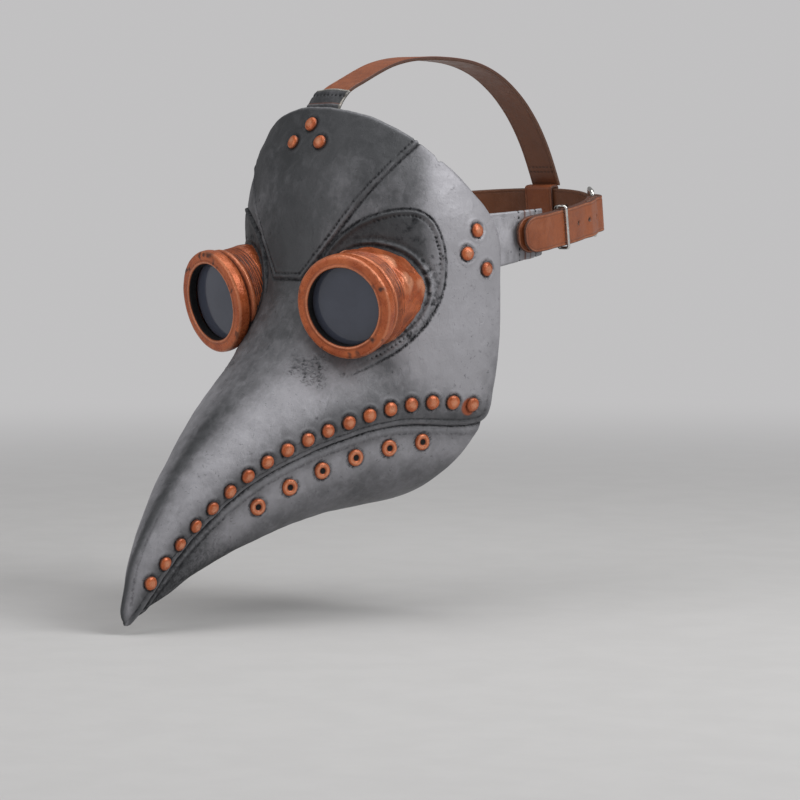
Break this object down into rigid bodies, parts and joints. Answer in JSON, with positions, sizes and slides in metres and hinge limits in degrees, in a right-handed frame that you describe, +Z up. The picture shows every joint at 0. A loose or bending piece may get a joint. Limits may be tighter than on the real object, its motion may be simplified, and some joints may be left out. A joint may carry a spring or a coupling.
{
  "type": "plague doctor mask",
  "caption": "Full-face costume mask with a long downturned beak, projecting round goggles, rows of studs and a buckled leather head harness.",
  "frame": {"origin": "middle of the wearer's head at eye level, on the plane of symmetry", "axes": "+X to the wearer's left, the mask faces -Y, +Z up"},
  "size_m": [0.169, 0.3445, 0.2954],
  "materials": {
    "grey_latex": "satin, dry-brushed",
    "copper_paint": "satin, black wash in the grooves",
    "copper_rivet": "satin",
    "dark_lens": "gloss",
    "black_rubber": "matt",
    "brown_leather": "satin",
    "nickel": "polished"
  },
  "bodies": {
    "mask": {"face_shell": "grey_latex", "lower_beak": "grey_latex", "forehead_panel": "grey_latex", "forehead_tab": "grey_latex", "left_eye_patch": "grey_latex", "right_eye_patch": "grey_latex", "left_temple_tab": "grey_latex", "right_temple_tab": "grey_latex", "left_goggle_barrel": "copper_paint", "right_goggle_barrel": "copper_paint", "left_goggle_rim": "copper_paint", "right_goggle_rim": "copper_paint", "forehead_rivets": "copper_rivet", "left_beak_rivets": "copper_rivet", "right_beak_rivets": "copper_rivet", "left_beak_eyelets": "copper_rivet", "right_beak_eyelets": "copper_rivet", "left_temple_rivets": "copper_rivet", "right_temple_rivets": "copper_rivet", "left_strap_rivet": "copper_rivet", "right_strap_rivet": "copper_rivet", "left_lens": "dark_lens", "right_lens": "dark_lens", "left_lens_gasket": "black_rubber", "right_lens_gasket": "black_rubber", "top_strap": "brown_leather"},
    "harness": {"left_strap": "brown_leather", "right_strap": "brown_leather"},
    "buckle_frame": {"buckle_frame": "nickel"},
    "buckle_prong": {"buckle_prong": "nickel"},
    "keeper_loop": {"keeper_loop": "nickel"}
  },
  "joints": [
    {"name": "harness_swing", "type": "hinge", "parent": "mask", "child": "harness", "pos_m": [0, -0.01, 0.031], "axis": [1, 0, 0], "range_deg": [-4, 20], "deforming": ["top_strap"]},
    {"name": "buckle_lift", "type": "hinge", "parent": "harness", "child": "buckle_frame", "pos_m": [0.06064, 0.07022, 0.04085], "axis": [0, 0.1219, -0.9925], "range_deg": [0, 8]},
    {"name": "prong_lift", "type": "hinge", "parent": "buckle_frame", "child": "buckle_prong", "pos_m": [0.06064, 0.07022, 0.04085], "axis": [0, 0.1219, -0.9925], "range_deg": [0, 10]},
    {"name": "keeper_slide", "type": "slide", "parent": "harness", "child": "keeper_loop", "axis": [-0.1327, 0.9838, 0.1208], "range_m": [-0.004, 0.006]}
  ]
}
